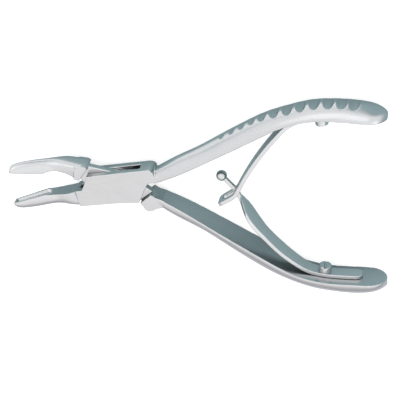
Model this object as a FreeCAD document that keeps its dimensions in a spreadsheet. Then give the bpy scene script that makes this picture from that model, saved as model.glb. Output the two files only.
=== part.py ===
import FreeCAD, Part
import math
import os
from FreeCAD import Placement, Rotation, Vector

# Bone rongeur with a box joint and a double leaf spring, lying flat on its side.
# X runs from the jaws (-) to the handles (+), Y across the handles, Z up through the thickness.
# The origin is where the joint's axis meets the underside of the box.
# Each branch is drawn with its jaw closed on the X axis, then turned to the open rest position.

os.makedirs("parts", exist_ok=True)
doc = FreeCAD.newDocument("bone_rongeur")
sheet = doc.addObject("Spreadsheet::Sheet", "Sizes")

SIZES = {
    # Joint
    "box_thickness": 7.0,
    "half_opening": 10.1,
    "tenon_thickness": 2.4,
    "tenon_side_gap": 0.06,
    "pin_radius": 2.5,
    "pin_running_gap": 0.04,
    "box_top": 5.9,
    "box_bottom": 7.0,
    "cheek_reach_back": 12.6,
    "cheek_reach_front": 13.5,
    "shoulder_gap": 0.5,
    # Jaws
    "jaw_reach": 39.0,
    "jaw_depth": 5.9,
    "male_root_depth": 6.3,
    "rim_gap": 0.06,
    "relief_start": 14.2,
    "relief_end": 26.9,
    "upper_relief": 1.95,
    "lower_relief": 1.1,
    "cup_heel_from_pivot": 26.4,
    "cup_heel_height": 1.69,
    "cup_heel_radius": 1.5,
    "cup_tip_from_pivot": 37.0,
    "cup_tip_height": 5.95,
    "cup_tip_radius": 0.92,
    # Handles
    "shank_start_x": 16.0,
    "shank_start_y": 0.37,
    "shank_start_angle": 13.5,
    "shank_bend_radius": 106.0,
    "handle_rise": 22.0,
    "shank_length": 36.1,
    "grip_radius": 40.0,
    "grip_fall": 12.0,
    "grip_length": 17.9,
    "grip_width": 11.5,
    "blend_step": 0.06,
    "handle_crown": 5.3,
    "end_rounding": 7.6,
    # Scallops across the back of each handle
    "scallop_count": 12,
    "scallop_pitch": 4.45,
    "scallop_radius": 2.4,
    "scallop_depth": 1.2,
    "first_scallop_depth": 0.5,
    "first_scallop_at": 32.9,
    # Leaf springs
    "leaf_thickness": 1.5,
    "leaf_seat_gap": 0.1,
    "leaf_rear_at": 84.3,
    "leaf_bend_radius": 15.0,
    "fork_leaves_at": 64.1,
    "fork_bend_angle": 35.7,
    "fork_bow_radius": 125.0,
    "stem_leaves_at": 68.1,
    "stem_bend_angle": 27.8,
    "stem_bow_radius": 65.1,
    "leaf_rear_width": 4.7,
    "leaf_free_width": 6.5,
    "leaf_hook_rise": 1.2,
    "leaf_hook_radius": 8.0,
    "fork_hook_angle": 30.0,
    "fork_tip_length": 5.6,
    "fork_tip_width": 5.8,
    "fork_slot_width": 2.3,
    "stem_width": 1.4,
    "stem_hook_angle": 21.0,
    "stem_tip_length": 7.3,
    "stem_shoulder_at": 1.4,
    "stem_shoulder_length": 8.4,
    "ball_at": 6.7,
    "ball_radius": 2.0,
    # Screws
    "screw_at": 70.0,
    "screw_head_radius": 2.35,
    "screw_head_height": 3.2,
    "screw_dome_radius": 4.0,
    "screw_shank_radius": 1.1,
    "screw_shank_depth": 3.0,
    "screw_hole_gap": 0.12,
    "screw_slot_width": 0.7,
    "screw_slot_depth": 0.9,
}

for row, (alias, value) in enumerate(SIZES.items(), start=1):
    sheet.set(f"A{row}", alias)
    sheet.set(f"B{row}", str(value))
    sheet.setAlias(f"B{row}", alias)
doc.recompute()


def size(name):
    return float(sheet.get(name))


def along(angle):
    """Unit vector in the plane of the instrument at this many degrees from X."""
    return Vector(math.cos(math.radians(angle)), math.sin(math.radians(angle)), 0)


def arc_step(start, angle, radius, turn):
    """End of an arc that starts at this heading and turns by this many degrees, left when positive."""
    side = 90 if turn > 0 else -90
    centre = start + along(angle + side) * radius
    return centre + along(angle - side + turn) * radius, centre


# Inner face of a handle, as arc, straight, arc, straight from the box to the butt

BEND = size("handle_rise") - size("shank_start_angle")
FALL = size("handle_rise") + size("grip_fall")
BEND_LENGTH = size("shank_bend_radius") * math.radians(BEND)
ARC_START = BEND_LENGTH + size("shank_length")
ARC_END = ARC_START + size("grip_radius") * math.radians(FALL)
HANDLE_LENGTH = ARC_END + size("grip_length")


def inner_face(s):
    """Point and heading of the handle's inner face at distance s from its start at the box."""
    point = Vector(size("shank_start_x"), size("shank_start_y"), 0)
    heading = size("shank_start_angle")
    if s <= BEND_LENGTH:
        turn = math.degrees(s / size("shank_bend_radius"))
        return arc_step(point, heading, size("shank_bend_radius"), turn or 1e-9)[0], heading + turn
    point = arc_step(point, heading, size("shank_bend_radius"), BEND)[0]
    heading = size("handle_rise")
    if s <= ARC_START:
        return point + along(heading) * (s - BEND_LENGTH), heading
    point = point + along(heading) * size("shank_length")
    if s <= ARC_END:
        turn = math.degrees((s - ARC_START) / size("grip_radius"))
        return arc_step(point, heading, size("grip_radius"), -turn or -1e-9)[0], heading - turn
    point = arc_step(point, heading, size("grip_radius"), -FALL)[0]
    heading = -size("grip_fall")
    return point + along(heading) * (s - ARC_END), heading


def ease(s, start, end):
    """Smooth step from 0 at start to 1 at end."""
    share = min(1.0, max(0.0, (s - start) / (end - start)))
    return share * share * (3 - 2 * share)


def half_width(s):
    """Half width of the handle, which swells from the box to the grip and rounds off at the butt."""
    slim = size("box_thickness") / 2 - size("blend_step")
    wide = size("grip_width") / 2
    swell = 1 - max(0.0, 1 - s / ARC_END) ** 3
    into_end = max(0.0, (s - HANDLE_LENGTH + size("end_rounding")) / size("end_rounding"))
    return (slim + (wide - slim) * swell) * math.sqrt(1 - into_end ** 2)


# Crown stations: share of the handle's length, then the upper and the lower back as shares of the crown

CROWN_STATIONS = [
    (0.00, 0.77, 0.77),
    (0.13, 0.96, 0.94),
    (0.24, 0.93, 0.86),
    (0.37, 1.00, 1.00),
    (0.50, 1.04, 1.13),
    (0.64, 0.83, 1.06),
    (0.75, 0.92, 1.14),
    (0.86, 1.01, 1.28),
    (1.00, 1.01, 1.28),
]


def crown_height(s, side):
    """Height of the handle's rounded back above its flat inner face, falling off into the butt."""
    share = min(1.0, s / HANDLE_LENGTH)
    hand = 1 if side > 0 else 2
    crown = CROWN_STATIONS[0][hand]
    for before, after in zip(CROWN_STATIONS, CROWN_STATIONS[1:]):
        crown += (after[hand] - before[hand]) * ease(share, before[0], after[0])
    into_end = max(0.0, (s - HANDLE_LENGTH + 2 * size("end_rounding")) / (2 * size("end_rounding")))
    return size("handle_crown") * crown * math.sqrt(1 - 0.8 * into_end ** 2.4)


def squareness(s):
    """How square the handle's back is: a soft bar at the box, half round in the grip."""
    return 2.7 - 0.7 * ease(s, 0, 25)


def section_wire(first, last, deepest, squareness, steps):
    """Closed section: a flat from first to last, and a rounded back reaching to deepest."""
    middle = (first + last) * 0.5
    across = (first - last) * 0.5
    depth = deepest - middle
    points = []
    for step in range(steps + 1):
        turn = math.pi * step / steps
        reach = abs(math.cos(turn)) ** (2 / squareness) * (1 if step <= steps // 2 else -1)
        points.append(middle + across * reach + depth * math.sin(turn) ** (2 / squareness))
    points[0] = first
    points[steps // 2] = deepest
    points[steps] = last
    back = Part.BSplineCurve()
    back.interpolate(points)
    return Part.Wire([back.toShape(), Part.LineSegment(last, first).toShape()])


def shape_object(name, shape):
    item = doc.addObject("Part::Feature", name)
    item.Shape = shape
    return item


def handle_blank(side):
    """Lofted handle with a flat inner face and a rounded back."""
    wires = []
    end = HANDLE_LENGTH - size("end_rounding")
    stations = [end * share for share in (0.0, 0.05, 0.13, 0.25, 0.38, 0.5, 0.6, 0.7, 0.78, 0.86, 0.94, 1.0)]
    stations += [end + size("end_rounding") * share for share in (0.3, 0.55, 0.78, 0.92, 0.985)]
    for s in stations:
        point, heading = inner_face(s)
        out = along(heading + 90)
        wide = Vector(0, 0, half_width(s))
        crown = point + out * crown_height(s, side)
        corners = [point + wide, point - wide, crown]
        first, last, deepest = [Vector(v.x, v.y * side, v.z) for v in corners]
        wires.append(section_wire(first, last, deepest, squareness(s), 10))
    return Part.makeLoft(wires, True, False)


# Jaw stations: share of the jaw's reach, far side, near side, share of the depth, roundness

JAW_STATIONS = [
    (0.335, -3.50, 3.50, 0.98, 9.0),
    (0.380, -3.50, 3.50, 1.00, 8.0),
    (0.450, -3.50, 3.50, 1.01, 6.0),
    (0.510, -3.30, 3.35, 1.00, 4.4),
    (0.572, -2.60, 3.25, 0.97, 3.2),
    (0.650, -1.25, 3.80, 0.93, 2.6),
    (0.745, 0.35, 5.05, 0.86, 2.4),
    (0.850, 2.25, 6.55, 0.75, 2.3),
    (0.925, 3.60, 7.55, 0.63, 2.2),
    (0.968, 4.35, 8.05, 0.50, 2.1),
    (0.992, 5.00, 7.90, 0.34, 2.1),
]


def jaw_blank(side, root_depth):
    """Lofted jaw, bent up towards its tip, with its biting face on the X axis."""
    wires = []
    for share, far, near, depth, roundness in JAW_STATIONS:
        x = -share * size("jaw_reach")
        rim = -side * size("rim_gap") / 2
        root = max(0.0, 1 - (share - 0.335) / 0.32)
        deep = size("jaw_depth") * depth * (1 - root) + root_depth * root
        spread = size("box_thickness") / 7.0 - size("blend_step") / 3.5
        first = Vector(x, rim, near * spread)
        last = Vector(x, rim, far * spread)
        deepest = Vector(x, -side * deep, (near + far) / 2 * spread)
        wires.append(section_wire(first, last, deepest, roundness, 12))
    return Part.makeLoft(wires, True, False)


def origin_plane(body, role):
    return next(f for f in body.Origin.OriginFeatures if f.Role == role)


def padded_body(name, role, edges, length):
    """Body with one sketch of these edges, padded evenly to both sides of its plane."""
    body = doc.addObject("PartDesign::Body", name)
    sketch = body.newObject("Sketcher::SketchObject", name + "_sketch")
    sketch.AttachmentSupport = [(origin_plane(body, role), "")]
    sketch.MapMode = "FlatFace"
    sketch.addGeometry(edges, False)
    pad = body.newObject("PartDesign::Pad", name + "_pad")
    pad.Profile = sketch
    pad.Midplane = True
    pad.setExpression("Length", length)
    body.Tip = pad
    return body


def outline(points, side=1):
    """Closed run of straight edges through these points."""
    corners = [Vector(x, y * side, 0) for x, y in points]
    return [Part.LineSegment(a, b) for a, b in zip(corners, corners[1:] + corners[:1])]


def lobe(radius, centre_x, centre_y, start, end, count=5):
    """Points round the lobe where the box meets the handle's back."""
    turns = [start + (end - start) * step / (count - 1) for step in range(count)]
    return [(centre_x + radius * math.cos(math.radians(a)), centre_y + radius * math.sin(math.radians(a)))
            for a in turns]


def female_plate_points():
    """Box outline of the branch that carries the two cheeks."""
    top = size("box_top")
    low = -size("box_bottom")
    back = -size("cheek_reach_back")
    front = size("cheek_reach_front")
    rim = -size("rim_gap") / 2
    points = [(back - 2.6, low), (back - 2.6, rim), (back, rim), (back + 2.0, top / 2), (back + 3.5, top)]
    points += lobe(2.2, front + 1.1, top - 1.8, 100, -20)
    points += [(front + 5.6, 3.2), (front + 5.9, 1.0), (front + 0.2, 0.65), (front - 2.9, -3.6), (front - 5.4, low - 0.6)]
    points += [(front - 9.0, low - 0.35), (front - 12.5, low - 0.05), (front - 16.0, low)]
    return points


def male_root_points():
    """Full-thickness part of the other branch between its shoulder and its jaw."""
    back = -size("cheek_reach_back") - size("shoulder_gap")
    deep = -size("male_root_depth")
    rim = -size("rim_gap") / 2
    return [(back - 2.1, deep + 0.4), (back - 2.1, rim), (back, rim), (back + 1.4, deep / 2),
            (back + 2.6, deep + 0.6), (back + 1.9, deep + 0.1), (back + 0.9, deep)]


def male_heel_points():
    """Full-thickness part of the other branch between its shoulder and its handle."""
    front = size("cheek_reach_front")
    points = [(front + 0.7, -0.45), (front - 3.0, 4.5)]
    points += lobe(2.6, front + 0.7, 4.7, 165, 20)
    points += [(front + 5.2, 4.6), (front + 5.9, 1.0), (front + 2.5, 0.45)]
    return points


def tenon_points():
    """Outline of the thin web that passes through the box."""
    back = -size("cheek_reach_back") - size("shoulder_gap")
    front = size("cheek_reach_front")
    low = size("box_bottom")
    top = -size("box_top")
    return [(back - 0.5, -0.3), (back + 4.5, low - 0.6), (-4.0, low), (4.0, low), (8.0, low - 0.9),
            (front - 0.9, 3.3), (front + 1.9, 0.6), (front + 0.8, -0.40), (front - 1.5, -1.6),
            (5.2, top + 0.8), (0.0, top + 0.4), (back + 2.5, top + 0.3), (back + 0.6, top + 0.9)]


def slot_points():
    """Outline of the slot between the cheeks, clear of the web over its whole travel."""
    top = size("box_top") + 2
    low = -size("box_bottom") - 3
    back = -size("cheek_reach_back")
    front = size("cheek_reach_front")
    return [(back - 1.6, 0.6), (back + 2.8, low), (front - 1.0, low), (front + 1.1, 0.2), (front + 1.1, 0.95),
            (front - 3.2, top), (back - 1.6, top)]


def cylinder(name, radius, height, place):
    item = doc.addObject("Part::Cylinder", name)
    item.setExpression("Radius", radius)
    item.setExpression("Height", height)
    item.Placement = place
    return item


def fused(name, items):
    item = doc.addObject("Part::MultiFuse", name)
    item.Shapes = items
    return item


def cut(name, base, tool):
    item = doc.addObject("Part::Cut", name)
    item.Base = base
    item.Tool = tool
    return item


def relief_tool(name, side, depth):
    """Cylinder that hollows the shank of a jaw between the box and the cup."""
    start = size("relief_start")
    end = size("relief_end")
    half = (end - start) / 2
    radius = (half ** 2 + size(depth) ** 2) / (2 * size(depth))
    item = doc.addObject("Part::Cylinder", name)
    item.Radius = radius
    item.setExpression("Height", "Sizes.box_thickness * 2")
    item.Placement = Placement(
        Vector(-(start + end) / 2, side * (radius - size(depth)), -size("box_thickness")), Rotation())
    return item


def cup_tool(name):
    """Tapered capsule that hollows a jaw, following the jaw's bend."""
    heel_at = Vector(-size("cup_heel_from_pivot"), 0, size("cup_heel_height"))
    tip_at = Vector(-size("cup_tip_from_pivot"), 0, size("cup_tip_height"))
    run = tip_at - heel_at
    heel = doc.addObject("Part::Sphere", name + "_heel")
    heel.setExpression("Radius", "Sizes.cup_heel_radius")
    heel.Placement.Base = heel_at
    tip = doc.addObject("Part::Sphere", name + "_tip")
    tip.setExpression("Radius", "Sizes.cup_tip_radius")
    tip.Placement.Base = tip_at
    taper = doc.addObject("Part::Cone", name + "_taper")
    taper.setExpression("Radius1", "Sizes.cup_heel_radius")
    taper.setExpression("Radius2", "Sizes.cup_tip_radius")
    taper.Height = run.Length
    taper.Placement = Placement(heel_at, Rotation(Vector(0, 0, 1), run))
    return fused(name, [heel, taper, tip])


def scallop_tools(name, side):
    """Row of cylinders that scallop the back of a handle, shallower towards the joint."""
    count = int(size("scallop_count"))
    tools = []
    for number in range(count):
        first = size("first_scallop_depth")
        depth = first + (size("scallop_depth") - first) * ease(number, 0, count * 0.6)
        s = size("first_scallop_at") + number * size("scallop_pitch")
        point, heading = inner_face(s)
        centre = point + along(heading + 90) * (crown_height(s, side) - depth + size("scallop_radius"))
        place = Placement(Vector(centre.x, side * centre.y, -size("grip_width")), Rotation())
        tools.append(cylinder(f"{name}_{number + 1}", "Sizes.scallop_radius", "Sizes.grip_width * 2", place))
    return fused(name, tools)


def screw_frame(side, lift):
    """Placement whose Z axis points out of the handle's inner face at the screw, raised by lift."""
    point, heading = inner_face(size("screw_at"))
    inward = along(heading - 90)
    at = point + inward * lift
    return Placement(Vector(at.x, side * at.y, 0), Rotation(Vector(0, 0, 1), Vector(inward.x, side * inward.y, 0)))


def screw_hole(name, side):
    place = screw_frame(side, -size("screw_shank_depth"))
    return cylinder(name, "Sizes.screw_shank_radius", "Sizes.screw_shank_depth + 1", place)


def branch(name, side, solids, tools, root_depth, relief):
    """One forged branch: box, jaw and handle in one piece, with its hollows cut."""
    jaw = cut(name + "_jaw", shape_object(name + "_jaw_blank", jaw_blank(side, root_depth)),
              relief_tool(name + "_relief", side, relief))
    handle = shape_object(name + "_handle", handle_blank(side))
    blank = fused(name + "_blank", solids + [jaw, handle])
    tools = tools + [cup_tool(name + "_cup"), scallop_tools(name + "_scallops", side),
                     screw_hole(name + "_screw_hole", side)]
    return cut(name, blank, fused(name + "_tools", tools))


def pin_tool(name, radius):
    return cylinder(name, radius, "Sizes.box_thickness + 4",
                    Placement(Vector(0, 0, -size("box_thickness") / 2 - 2), Rotation()))


def female_branch():
    plate = padded_body("female_box", "XY_Plane", outline(female_plate_points()), "Sizes.box_thickness")
    slot = padded_body("box_slot", "XY_Plane", outline(slot_points()),
                       "Sizes.tenon_thickness + 2 * Sizes.tenon_side_gap")
    hole = pin_tool("cheek_hole", "Sizes.pin_radius")
    return branch("female_branch", 1, [plate], [slot, hole], size("box_bottom"), "lower_relief")


def male_branch():
    root = padded_body("male_root", "XY_Plane", outline(male_root_points(), -1), "Sizes.box_thickness")
    heel = padded_body("male_heel", "XY_Plane", outline(male_heel_points(), -1), "Sizes.box_thickness")
    tenon = padded_body("male_tenon", "XY_Plane", outline(tenon_points(), -1), "Sizes.tenon_thickness")
    hole = pin_tool("tenon_hole", "Sizes.pin_radius + Sizes.pin_running_gap")
    return branch("male_branch", -1, [root, heel, tenon], [hole], size("male_root_depth"), "upper_relief")


def leaf_route(leaf):
    """Centre line of a leaf spring as straight and arc pieces, from its rear end to its tip."""
    inset = size("leaf_seat_gap") + size("leaf_thickness") / 2
    pieces = []
    rear, rear_heading = inner_face(size("leaf_rear_at"))
    arc_end, fall = inner_face(ARC_END)
    rear = rear + along(rear_heading - 90) * inset
    arc_end = arc_end + along(fall - 90) * inset
    pieces.append(("line", rear, arc_end))
    centre = arc_end + along(fall - 90) * (size("grip_radius") - inset)
    away, lift_off = inner_face(size(leaf + "_leaves_at"))
    away = away + along(lift_off - 90) * inset
    pieces.append(("arc", centre, size("grip_radius") - inset, fall + 90, lift_off + 90))
    bend_centre = away + along(lift_off - 90) * size("leaf_bend_radius")
    bend_end = lift_off + 90 + size(leaf + "_bend_angle")
    pieces.append(("arc", bend_centre, size("leaf_bend_radius"), lift_off + 90, bend_end))
    bow = size(leaf + "_bow_radius")
    bow_centre = bend_centre + along(bend_end) * (size("leaf_bend_radius") - bow)
    centre_line = along(-size("half_opening"))
    upward = along(90 - size("half_opening"))
    rise = size("leaf_hook_rise")
    back = math.sqrt(bow ** 2 - (bow_centre.dot(upward) - rise) ** 2)
    hook_start = centre_line * (bow_centre.dot(centre_line) - back) + upward * rise
    reach = hook_start - bow_centre
    touch = math.degrees(math.atan2(reach.y, reach.x)) % 360
    pieces.append(("arc", bow_centre, bow, bend_end, touch))
    hook_centre = hook_start + along(touch) * size("leaf_hook_radius")
    start = touch + 180
    turned = start - size(leaf + "_hook_angle")
    pieces.append(("arc", hook_centre, size("leaf_hook_radius"), start, turned))
    hook_end = hook_centre + along(turned) * size("leaf_hook_radius")
    pieces.append(("line", hook_end, hook_end + along(turned - 90) * size(leaf + "_tip_length")))
    return pieces


def route_side(pieces, offset, side):
    """Edges of the route moved left of its run by offset, on this side of the instrument."""
    edges = []
    for piece in pieces:
        if piece[0] == "line":
            run = (piece[2] - piece[1]).normalize()
            shift = Vector(-run.y, run.x, 0) * offset
            a, b = piece[1] + shift, piece[2] + shift
            edges.append(Part.LineSegment(Vector(a.x, side * a.y, 0), Vector(b.x, side * b.y, 0)))
            continue
        centre, radius, start, end = piece[1:]
        reach = radius - offset if end > start else radius + offset
        a, m, b = [centre + along(angle) * reach for angle in (start, (start + end) / 2, end)]
        edges.append(Part.Arc(*[Vector(v.x, side * v.y, 0) for v in (a, m, b)]))
    return edges


def leaf_band(name, side, pieces):
    """Leaf spring seen from its edge, padded to its full width."""
    half = size("leaf_thickness") / 2
    left = route_side(pieces, half, side)
    right = route_side(pieces, -half, side)
    rear = Part.LineSegment(left[0].StartPoint, right[0].StartPoint)
    tip = Part.LineSegment(left[-1].EndPoint, right[-1].EndPoint)
    return padded_body(name, "XY_Plane", left + [tip] + right + [rear], "Sizes.leaf_free_width")


def crossing_x():
    """Where the leaves cross, along the closed branch's X axis."""
    centre, radius, start, end = leaf_route("fork")[3][1:]
    heading = along(end + 90)
    slope = heading.dot(along(-90 - size("half_opening")))
    return (centre + along(end) * radius + heading * (size("leaf_hook_rise") / slope)).x


def leaf_plan(name, front_points):
    """Leaf spring seen from above, padded through everything, with these points at its front."""
    rear_x = inner_face(size("leaf_rear_at"))[0].x
    screw_x = inner_face(size("screw_at"))[0].x
    rear = size("leaf_rear_width") / 2
    free = size("leaf_free_width") / 2
    turns = [math.radians(90 - 30 * step) for step in range(7)]
    points = [(rear_x - rear + rear * math.cos(a), rear * math.sin(a)) for a in turns]
    points += [(screw_x - 3, -rear), (crossing_x() + 20, -free)]
    points += [(x, -z) for x, z in reversed(front_points)]
    points += front_points
    points += [(crossing_x() + 20, free), (screw_x - 3, rear)]
    return padded_body(name, "XZ_Plane", outline(points), "Sizes.grip_width * 12")


def leaf_hole(name, side):
    place = screw_frame(side, -size("screw_shank_depth"))
    return cylinder(name, "Sizes.screw_shank_radius + Sizes.screw_hole_gap", "Sizes.screw_shank_depth * 3", place)


def common(name, base, tool):
    item = doc.addObject("Part::Common", name)
    item.Base = base
    item.Tool = tool
    return item


def fork_spring():
    """Leaf whose tip is a closed eye that the other leaf's stem passes through."""
    route = leaf_route("fork")
    band = leaf_band("fork_band", 1, route)
    cross = crossing_x()
    free = size("leaf_free_width") / 2
    tip = size("fork_tip_width") / 2
    end = route[-1][2].x
    front = [(end - 0.5, tip - 1.1), (end + 0.35, tip - 0.3), (end + 1.3, tip), (cross + 4, free)]
    plan = leaf_plan("fork_plan", front)
    slot = size("fork_slot_width") / 2
    turns = [math.radians(90 + 36 * step) for step in range(6)]
    eye = [(end + 1.3 + slot + slot * math.cos(a), slot * math.sin(a)) for a in turns]
    eye += [(cross + 1.4, -slot), (cross + 1.9, -slot * 0.6), (cross + 1.9, slot * 0.6), (cross + 1.4, slot)]
    eye_tool = padded_body("fork_eye", "XZ_Plane", outline(eye), "Sizes.grip_width * 12")
    blade = common("fork_blade", band, plan)
    return cut("fork_spring", blade, fused("fork_tools", [eye_tool, leaf_hole("fork_screw_hole", 1)]))


def ball_spring():
    """Leaf that narrows to a stem, which passes through the eye and carries the ball."""
    route = leaf_route("stem")
    band = leaf_band("ball_band", -1, route)
    cross = crossing_x()
    stem = size("stem_width") / 2
    free = size("leaf_free_width") / 2
    neck = cross + size("stem_shoulder_at")
    run = size("stem_shoulder_length")
    wider = free - stem
    front = [(route[-1][2].x - 1, stem), (neck, stem), (neck + run * 0.14, stem + wider * 0.23),
             (neck + run * 0.36, stem + wider * 0.46), (neck + run * 0.7, stem + wider * 0.81), (neck + run, free)]
    plan = leaf_plan("ball_plan", front)
    blade = common("ball_blade", band, plan)
    return cut("ball_spring", blade, leaf_hole("ball_screw_hole", -1))


def spring_ball(leaf):
    """Ball on the end of the stem, with a socket the stem fills."""
    start, end = leaf_route("stem")[-1][1:]
    at = start + (end - start).normalize() * size("ball_at")
    ball = doc.addObject("Part::Sphere", "ball_blank")
    ball.setExpression("Radius", "Sizes.ball_radius")
    ball.Placement.Base = Vector(at.x, -at.y, 0)
    stem = shape_object("ball_stem", leaf.Shape.copy())
    return cut("spring_ball", ball, stem)


def screw(name, side):
    """Round-headed slotted screw that clamps a leaf to its handle."""
    seat = 2 * size("leaf_seat_gap") + size("leaf_thickness")
    head = cylinder(name + "_head", "Sizes.screw_head_radius", "Sizes.screw_head_height", screw_frame(side, seat))
    dome = doc.addObject("Part::Sphere", name + "_dome")
    dome.setExpression("Radius", "Sizes.screw_dome_radius")
    dome.Placement = screw_frame(side, seat + size("screw_head_height") - size("screw_dome_radius"))
    domed = common(name + "_domed", head, dome)
    shank = cylinder(name + "_shank", "Sizes.screw_shank_radius",
                     "Sizes.screw_shank_depth + Sizes.leaf_thickness + 2 * Sizes.leaf_seat_gap + 0.2",
                     screw_frame(side, -size("screw_shank_depth")))
    slot = doc.addObject("Part::Box", name + "_slot")
    slot.setExpression("Length", "Sizes.screw_slot_width")
    slot.setExpression("Width", "Sizes.screw_head_radius * 4")
    slot.setExpression("Height", "Sizes.screw_slot_depth + 1")
    frame = screw_frame(side, seat + size("screw_head_height") - size("screw_slot_depth"))
    across = Vector(0, 0, 1)
    outward = frame.Rotation.multVec(Vector(0, 0, 1))
    lengthwise = across.cross(outward)
    turn = Rotation(lengthwise, across, outward, "ZXY")
    corner = turn.multVec(Vector(-size("screw_slot_width") / 2, -2 * size("screw_head_radius"), 0))
    slot.Placement = Placement(frame.Base + corner, turn)
    return cut(name, fused(name + "_blank", [domed, shank]), slot)


def place(item, turn):
    """Lays a finished piece at its rest pose on the instrument's underside."""
    item.Placement.Rotation = Rotation(Vector(0, 0, 1), turn)
    item.setExpression(".Placement.Base.z", "Sizes.box_thickness / 2")
    item.Label = item.Name
    return item


pin = cylinder("pivot_pin", "Sizes.pin_radius", "Sizes.box_thickness", Placement())
ball_leaf = ball_spring()
doc.recompute()
opening = size("half_opening")
finished = [
    place(female_branch(), opening),
    place(male_branch(), -opening),
    place(fork_spring(), opening),
    place(spring_ball(ball_leaf), -opening),
    place(ball_leaf, -opening),
    place(screw("upper_screw", 1), opening),
    place(screw("lower_screw", -1), -opening),
]
pin.Label = "pivot_pin"
finished.append(pin)
doc.recompute()

for item in doc.Objects:
    if "Invalid" in item.State or "Error" in item.State:
        raise RuntimeError(f"{item.Label} failed: {item.State}")
for item in finished:
    if item.Shape.isNull() or not item.Shape.isValid():
        raise RuntimeError(f"{item.Label} has no valid shape")
    item.Shape.exportStep(f"parts/{item.Label}.step")
    box = item.Shape.BoundBox
    print(item.Label, len(item.Shape.Solids), round(item.Shape.Volume, 1),
          [round(v, 2) for v in (box.XMin, box.XMax, box.YMin, box.YMax, box.ZMin, box.ZMax)])
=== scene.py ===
"""Bone rongeur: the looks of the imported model. Every length is in metres, in the model's own frame."""
import math

import bpy
from mathutils import Matrix, Vector


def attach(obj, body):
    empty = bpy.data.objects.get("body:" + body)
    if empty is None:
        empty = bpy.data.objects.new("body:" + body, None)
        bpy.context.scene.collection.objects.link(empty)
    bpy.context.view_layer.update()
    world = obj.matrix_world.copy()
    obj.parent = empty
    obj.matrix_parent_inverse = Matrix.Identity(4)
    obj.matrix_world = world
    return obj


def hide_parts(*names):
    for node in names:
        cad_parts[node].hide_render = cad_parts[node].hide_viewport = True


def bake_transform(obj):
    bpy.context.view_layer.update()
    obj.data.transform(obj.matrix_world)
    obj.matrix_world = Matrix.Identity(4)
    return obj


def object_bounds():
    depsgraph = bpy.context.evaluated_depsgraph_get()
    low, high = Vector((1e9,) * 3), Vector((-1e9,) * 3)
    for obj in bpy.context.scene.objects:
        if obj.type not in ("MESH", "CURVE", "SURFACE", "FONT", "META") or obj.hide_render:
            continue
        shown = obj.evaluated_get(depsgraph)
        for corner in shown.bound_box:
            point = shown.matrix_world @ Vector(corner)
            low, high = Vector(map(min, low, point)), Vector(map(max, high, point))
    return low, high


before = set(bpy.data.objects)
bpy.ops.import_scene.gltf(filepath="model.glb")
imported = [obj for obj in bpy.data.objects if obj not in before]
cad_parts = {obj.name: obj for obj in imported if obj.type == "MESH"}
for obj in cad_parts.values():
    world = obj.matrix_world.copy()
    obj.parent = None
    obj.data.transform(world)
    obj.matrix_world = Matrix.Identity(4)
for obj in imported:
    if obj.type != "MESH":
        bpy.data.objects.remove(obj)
cad_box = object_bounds()

scene = bpy.context.scene
scene.view_settings.view_transform = "Standard"

MM = 0.001


# Camera: the photograph's viewing angle, from high on the upper handle's side

CAMERA_RIGHT = Vector((0.9774, -0.0659, -0.2010))
CAMERA_UP = Vector((-0.0657, 0.8089, -0.5844))
CAMERA_AT = Vector((147.77, 332.18, 457.62)) * MM
CAMERA_LENS = 141.28


def make_camera():
    """Long lens on the photograph's line of sight."""
    data = bpy.data.cameras.new("camera")
    data.lens = CAMERA_LENS
    data.sensor_width = 36.0
    right = CAMERA_RIGHT.normalized()
    back = right.cross(CAMERA_UP).normalized()
    up = back.cross(right)
    turn = Matrix((right, up, back)).transposed().to_4x4()
    camera = bpy.data.objects.new("camera", data)
    camera.matrix_world = Matrix.Translation(CAMERA_AT) @ turn
    scene.collection.objects.link(camera)
    scene.camera = camera


# Stage: the floor's own colours, and the painted shadow and lighter floor that the metal shows by where on
# the floor it looks

FLOOR_SIZE = 6.0
FLOOR_GREY = (0.42, 0.42, 0.42, 1.0)
FLOOR_WHITE = 0.74
# Painted shadow: the floor colour that the metal shows close along the object, darker and cooler than the
# floor further off
FLOOR_PAINTED_SHADOW = (0.33, 0.46, 0.48, 1.0)
FLOOR_BEYOND = (1.0, 1.02, 1.03, 1.0)
BEYOND_FROM, BEYOND_TO = 5 * MM, 10 * MM
FLOOR_BELOW = (0.62, 0.61, 0.65, 1.0)
BELOW_FROM, BELOW_TO = -5 * MM, 1 * MM
FLOOR_GLOW_IN_METAL = 0.04
OUTLINE_AT, OUTLINE_SLOPE, OUTLINE_FROM, OUTLINE_MOST = 9 * MM, 0.64, 16 * MM, 40.5 * MM
# Past the handles' butt end the painted shadow takes over again
BUTT_FROM, BUTT_TO = 82 * MM, 94 * MM

# Light: each patch of the surround has a direction, the cosines where it starts and is full, and a colour

DOME_TOWARDS = (0.0, 0.45, 1.0)
DOME_EDGE, DOME_FULL = -0.25, 0.62
DOME_COLOUR = (1.39, 1.395, 1.405)
WINDOWS = [
    ((0.50, -0.50, 0.74), 0.76, 0.90, (0.16, 0.16, 0.16)),
    ((-0.15, 0.40, 0.90), 0.89, 0.97, (0.45, 0.45, 0.45)),
    ((-0.10, -1.00, 0.05), 0.45, 0.90, (0.30, 0.18, 0.17)),
]
FLAG_TOWARDS = (0.40, 0.91, 0.05)
FLAG_EDGE, FLAG_FULL = 0.82, 0.99
FLAG_COLOUR = (0.50, 0.62, 0.64)
ROOM_COLOUR = (0.30, 0.44, 0.47)
LAMP_AIM = Vector((0.03, 0, 0))


def number_of(nodes, links, operation, first, second, third=None):
    """Result of a math node on these values or sockets."""
    node = nodes.new("ShaderNodeMath")
    node.operation = operation
    for socket, value in zip(node.inputs, (first, second, third)):
        if isinstance(value, bpy.types.NodeSocket):
            links.new(value, socket)
        elif value is not None:
            socket.default_value = value
    return node.outputs[0]


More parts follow.
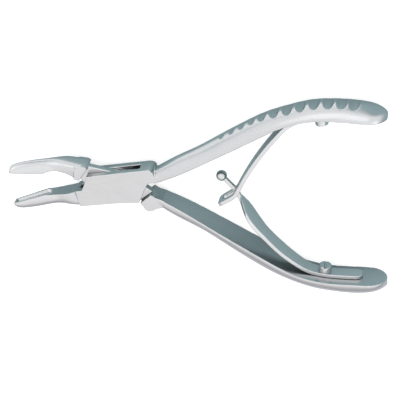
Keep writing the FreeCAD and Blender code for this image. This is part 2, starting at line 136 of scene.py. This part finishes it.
def ramp_of(nodes, links, value, start, end):
    """Soft step from 0 to 1 as the value goes from start to end."""
    ramp = nodes.new("ShaderNodeMapRange")
    ramp.interpolation_type = "SMOOTHSTEP"
    ramp.inputs["From Min"].default_value = start
    ramp.inputs["From Max"].default_value = end
    links.new(value, ramp.inputs["Value"])
    return ramp.outputs[0]


def mixed(nodes, links, share, first, second, way="MIX"):
    """Colour between two colours or sockets by this share."""
    mix = nodes.new("ShaderNodeMix")
    mix.data_type = "RGBA"
    mix.blend_type = way
    links.new(share, mix.inputs["Factor"])
    for name, value in (("A", first), ("B", second)):
        if isinstance(value, bpy.types.NodeSocket):
            links.new(value, mix.inputs[name])
        else:
            mix.inputs[name].default_value = value
    return mix.outputs["Result"]


def floor_with_painted_shadow(nodes, links):
    """Floor as the metal shows it: a cool painted shadow beneath and along the object, light past the upper
    handle, grey past the lower one, and painted shadow again past the butt.
    """
    place = nodes.new("ShaderNodeNewGeometry")
    split = nodes.new("ShaderNodeSeparateXYZ")
    links.new(place.outputs["Position"], split.inputs[0])
    x, y = split.outputs["X"], split.outputs["Y"]
    along = number_of(nodes, links, "MAXIMUM", number_of(nodes, links, "SUBTRACT", x, OUTLINE_FROM), 0.0)
    edge = number_of(nodes, links, "MULTIPLY_ADD", along, OUTLINE_SLOPE, OUTLINE_AT)
    edge = number_of(nodes, links, "MINIMUM", edge, OUTLINE_MOST)
    beyond = ramp_of(nodes, links, number_of(nodes, links, "SUBTRACT", y, edge), BEYOND_FROM, BEYOND_TO)
    # Past the butt the lighter floor gives way to the painted shadow
    butt = ramp_of(nodes, links, x, BUTT_TO, BUTT_FROM)
    beyond = number_of(nodes, links, "MULTIPLY", beyond, butt)
    down = number_of(nodes, links, "MULTIPLY", y, -1.0)
    below = ramp_of(nodes, links, number_of(nodes, links, "SUBTRACT", down, edge), BELOW_FROM, BELOW_TO)
    return mixed(nodes, links, below, mixed(nodes, links, beyond, FLOOR_PAINTED_SHADOW, FLOOR_BEYOND), FLOOR_BELOW)


def make_floor():
    """Pale floor that looks white, keeps the object's soft shadow and shows cool and dim in the metal, where
    a painted shadow lies along the object.
    """
    low = cad_box[0][2]
    bpy.ops.mesh.primitive_plane_add(size=FLOOR_SIZE, location=(0, 0, low))
    floor = bpy.context.object
    floor.name = "floor"
    material = bpy.data.materials.new("floor_white")
    material.use_nodes = True
    nodes, links = material.node_tree.nodes, material.node_tree.links
    nodes.clear()
    path = nodes.new("ShaderNodeLightPath")
    seen = path.outputs["Is Camera Ray"]
    diffuse = nodes.new("ShaderNodeBsdfDiffuse")
    # Rays other than the camera's see the floor with its painted shadow along the object
    links.new(mixed(nodes, links, seen, floor_with_painted_shadow(nodes, links), FLOOR_GREY), diffuse.inputs["Color"])
    glossy, through = path.outputs["Is Glossy Ray"], path.outputs["Is Transmission Ray"]
    shown = number_of(nodes, links, "MAXIMUM", glossy, through)
    in_metal = number_of(nodes, links, "MULTIPLY", shown, FLOOR_GLOW_IN_METAL)
    glow = nodes.new("ShaderNodeEmission")
    links.new(number_of(nodes, links, "MULTIPLY_ADD", seen, FLOOR_WHITE, in_metal), glow.inputs["Strength"])
    both = nodes.new("ShaderNodeAddShader")
    links.new(diffuse.outputs[0], both.inputs[0])
    links.new(glow.outputs[0], both.inputs[1])
    out = nodes.new("ShaderNodeOutputMaterial")
    links.new(both.outputs[0], out.inputs["Surface"])
    floor.data.materials.append(material)


def patch(nodes, links, where, towards, edge, full):
    """Share of light that a soft patch of sky in this direction adds."""
    angle = nodes.new("ShaderNodeVectorMath")
    angle.operation = "DOT_PRODUCT"
    angle.inputs[1].default_value = Vector(towards).normalized()
    links.new(where.outputs["Generated"], angle.inputs[0])
    return ramp_of(nodes, links, angle.outputs["Value"], edge, full)


def make_world():
    """Soft studio surround: a broad light dome with brighter windows and a dark card, in a dim cool room."""
    world = bpy.data.worlds.new("studio")
    scene.world = world
    world.use_nodes = True
    nodes, links = world.node_tree.nodes, world.node_tree.links
    nodes.clear()
    where = nodes.new("ShaderNodeTexCoord")
    room = (*ROOM_COLOUR, 1)
    dome = patch(nodes, links, where, DOME_TOWARDS, DOME_EDGE, DOME_FULL)
    light = mixed(nodes, links, dome, room, (*DOME_COLOUR, 1))
    flag = patch(nodes, links, where, FLAG_TOWARDS, FLAG_EDGE, FLAG_FULL)
    light = mixed(nodes, links, flag, light, (*FLAG_COLOUR, 1))
    for towards, edge, full, colour in WINDOWS:
        window = patch(nodes, links, where, towards, edge, full)
        light = mixed(nodes, links, window, light, (*colour, 1), "ADD")
    path = nodes.new("ShaderNodeLightPath")
    light = mixed(nodes, links, path.outputs["Is Camera Ray"], light, (1, 1, 1, 1))
    shade = nodes.new("ShaderNodeBackground")
    links.new(light, shade.inputs["Color"])
    out = nodes.new("ShaderNodeOutputWorld")
    links.new(shade.outputs[0], out.inputs["Surface"])


def make_lamp(name, towards, distance, size, watts):
    """Soft box that looks at the joint from this direction."""
    data = bpy.data.lights.new(name, "AREA")
    data.shape = "RECTANGLE"
    data.size, data.size_y = size
    data.energy = watts
    lamp = bpy.data.objects.new(name, data)
    way = Vector(towards).normalized()
    lamp.location = LAMP_AIM + way * distance
    lamp.rotation_mode = "QUATERNION"
    lamp.rotation_quaternion = way.to_track_quat("Z", "Y")
    scene.collection.objects.link(lamp)


# Steel

STEEL = (0.50, 0.505, 0.51)
SPRING_STEEL = (0.56, 0.565, 0.57)
GRAIN_STRETCH = (250, 2600, 2600)
GRAIN_DEPTH = 0.02 * MM
GRAIN_TONES = (0.93, 1.05)
ROUGHER, SMOOTHER = 0.07, 0.05
WAVE_SCALE = 75


def noise(nodes, links, place, scale, detail):
    """Soft noise at this scale on these coordinates."""
    texture = nodes.new("ShaderNodeTexNoise")
    texture.inputs["Scale"].default_value = scale
    texture.inputs["Detail"].default_value = detail
    links.new(place, texture.inputs["Vector"])
    return texture.outputs["Fac"]


def spread(nodes, links, value, low, high):
    """Value from 0 to 1 laid over this range."""
    span = nodes.new("ShaderNodeMapRange")
    span.inputs["To Min"].default_value = low
    span.inputs["To Max"].default_value = high
    links.new(value, span.inputs["Value"])
    return span.outputs[0]


def bumped(nodes, links, height, strength, distance, below=None):
    """Normal that this height gives, on top of the one below."""
    bump = nodes.new("ShaderNodeBump")
    bump.inputs["Strength"].default_value = strength
    bump.inputs["Distance"].default_value = distance
    links.new(height, bump.inputs["Height"])
    if below:
        links.new(below, bump.inputs["Normal"])
    return bump.outputs[0]


def steel(name, colour, roughness, grain, spots, wave):
    """Polished surgical steel: fine grain, slight clouding and the soft waves that hand polishing leaves."""
    material = bpy.data.materials.new(name)
    material.use_nodes = True
    nodes, links = material.node_tree.nodes, material.node_tree.links
    shader = nodes["Principled BSDF"]
    shader.inputs["Metallic"].default_value = 1.0
    where = nodes.new("ShaderNodeTexCoord").outputs["Object"]
    stretch = nodes.new("ShaderNodeMapping")
    stretch.inputs["Scale"].default_value = GRAIN_STRETCH
    links.new(where, stretch.inputs["Vector"])
    lines = noise(nodes, links, stretch.outputs[0], 1.0, 3.0)
    clouds = noise(nodes, links, where, spots, 2.0)
    rough = spread(nodes, links, clouds, roughness - SMOOTHER, roughness + ROUGHER)
    links.new(rough, shader.inputs["Roughness"])
    tint = nodes.new("ShaderNodeVectorMath")
    tint.operation = "SCALE"
    tint.inputs[0].default_value = colour
    links.new(spread(nodes, links, lines, *GRAIN_TONES), tint.inputs["Scale"])
    links.new(tint.outputs[0], shader.inputs["Base Color"])
    fine = bumped(nodes, links, lines, grain, GRAIN_DEPTH)
    waves = noise(nodes, links, where, WAVE_SCALE, 1.0)
    links.new(bumped(nodes, links, waves, 1.0, wave * MM, fine), shader.inputs["Normal"])
    return material


# Pieces

WELD_WITHIN = 0.001 * MM


def softened(node, name, voxel, rounds, material):
    """Copy of a CAD node as an even mesh whose sharp edges are eased, as polishing leaves them."""
    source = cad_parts[node]
    piece = bpy.data.objects.new(name, source.data.copy())
    piece.matrix_world = source.matrix_world.copy()
    scene.collection.objects.link(piece)
    weld = piece.modifiers.new("weld", "WELD")
    weld.merge_threshold = WELD_WITHIN
    even = piece.modifiers.new("even", "REMESH")
    even.mode = "VOXEL"
    even.voxel_size = voxel
    smooth = piece.modifiers.new("ease", "SMOOTH")
    smooth.factor = 0.5
    smooth.iterations = rounds
    depsgraph = bpy.context.evaluated_depsgraph_get()
    mesh = bpy.data.meshes.new_from_object(piece.evaluated_get(depsgraph))
    piece.modifiers.clear()
    piece.data = mesh
    mesh.materials.clear()
    mesh.materials.append(material)
    mesh.polygons.foreach_set("use_smooth", [True] * len(mesh.polygons))
    return piece


def lathed(name, profile, steps, material):
    """Round piece on the joint's axis, with a ring of points for each (radius, height) pair in mm."""
    piece = bpy.data.objects.new(name, bpy.data.meshes.new(name))
    scene.collection.objects.link(piece)
    points = []
    for radius, height in profile:
        for step in range(steps):
            turn = 2 * math.pi * step / steps
            points.append((radius * math.cos(turn) * MM, radius * math.sin(turn) * MM, height * MM))
    rings = len(profile)
    faces = []
    for ring in range(rings - 1):
        for step in range(steps):
            a, b = ring * steps + step, ring * steps + (step + 1) % steps
            faces.append((a, b, b + steps, a + steps))
    faces.append(tuple(reversed(range(steps))))
    faces.append(tuple(range((rings - 1) * steps, rings * steps)))
    piece.data.from_pydata(points, [], faces)
    piece.data.materials.append(material)
    return piece


# The pin's ends are peened over the edge of their holes and ground flush

PEEN = 3.0
PIN_RADIUS = 2.5
PIN_STEPS = 96
PIN_PROFILE = [(PEEN - 0.03, -0.01), (PEEN, 0.03), (PIN_RADIUS, 0.3),
               (PIN_RADIUS, 6.7), (PEEN, 6.97), (PEEN - 0.03, 7.01)]

# The point where the leaves cross between the branches

CROSSING = Vector((45.8, 0, 3.5)) * MM

# Half widths of the ball leaf in mm, by distance past the crossing: as built, and as the photograph shows it

NECK = 1.4
SHOULDER_BUILT = [(NECK, 0.70), (2.58, 1.29), (4.42, 1.87), (7.28, 2.77), (9.8, 3.25)]
SHOULDER_SHOWN = [(NECK, 0.70), (2.4, 2.0), (3.4, 2.9), (4.6, 3.25), (9.8, 3.25)]


def between(stations, place):
    """Value at this place on a run of straight stretches."""
    if place <= stations[0][0]:
        return stations[0][1]
    for (start, low), (end, high) in zip(stations, stations[1:]):
        if place <= end:
            return low + (high - low) * (place - start) / (end - start)
    return stations[-1][1]


def widen_shoulder(piece):
    """Bring the ball leaf to its full width sooner after the crossing."""
    turn = piece.matrix_world
    back = turn.inverted()
    for vertex in piece.data.vertices:
        at = turn @ vertex.co
        past = (at.x - CROSSING.x) / MM
        if past > NECK and at.y < 0:
            wider = between(SHOULDER_SHOWN, past) / between(SHOULDER_BUILT, past)
            at.z = CROSSING.z + (at.z - CROSSING.z) * wider
            vertex.co = back @ at


# Where the jaws come to rest the cheeks' inner edges draw back a little from the other branch's shoulder

CHEEK_EDGE = Vector((-12.83, -2.45, 3.5)) * MM
EDGE_REACH, EDGE_HALF, EDGE_RELIEF = 1.8 * MM, 1.7 * MM, 0.2 * MM


def clear_shoulder(piece):
    """Draw the inner edges of the cheeks back where they would touch at the closed limit."""
    turn = piece.matrix_world
    back = turn.inverted()
    for vertex in piece.data.vertices:
        at = turn @ vertex.co
        away = (at - CHEEK_EDGE).to_2d().length
        if away < EDGE_REACH and abs(at.z - CHEEK_EDGE.z) < EDGE_HALF:
            at.x += EDGE_RELIEF * (1 - away / EDGE_REACH)
            vertex.co = back @ at


def bend_leaf(piece):
    """The leaf's placement is baked into its mesh."""
    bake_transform(piece)


def carry_ball(piece):
    """The ball's placement is baked into its mesh."""
    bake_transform(piece)


make_camera()
make_floor()
make_world()
make_lamp("key", (0.70, -0.25, 0.70), 0.7, (0.35, 0.25), 0.15)

forged = steel("forged_steel", STEEL, 0.24, 0.10, 90, 0.45)
spring = steel("spring_steel", SPRING_STEEL, 0.36, 0.08, 120, 0.05)
turned = steel("turned_steel", STEEL, 0.22, 0.06, 150, 0.0)

# Every piece: its CAD node, body, material, remesh size in mm, easing rounds and material slot.
# The pin has no remesh size: it is turned from its profile.

PIECES = [
    ("female_branch", "female", forged, 0.20, 4, "forged_steel"),
    ("male_branch", "male", forged, 0.20, 4, "forged_steel"),
    ("pivot_pin", "female", forged, None, None, "pin_steel"),
    ("upper_screw", "female", turned, 0.10, 4, "screw_steel"),
    ("lower_screw", "male", turned, 0.10, 4, "screw_steel"),
    ("fork_spring", "female", spring, 0.14, 5, "spring_steel"),
    ("ball_spring", "male", spring, 0.14, 5, "spring_steel"),
    ("spring_ball", "male", turned, 0.12, 4, "pin_steel"),
]

for node, body, material, voxel, rounds, slot in PIECES:
    if node == "pivot_pin":
        piece = lathed(node + "_polished", PIN_PROFILE, PIN_STEPS, material)
    else:
        piece = softened(node, node + "_polished", voxel * MM, rounds, material)
    if node == "ball_spring":
        widen_shoulder(piece)
    elif node == "female_branch":
        clear_shoulder(piece)
    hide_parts(node)
    if node == "fork_spring":
        bend_leaf(piece)
    elif node == "ball_spring":
        bend_leaf(piece)
    elif node == "spring_ball":
        carry_ball(piece)
    else:
        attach(piece, body)
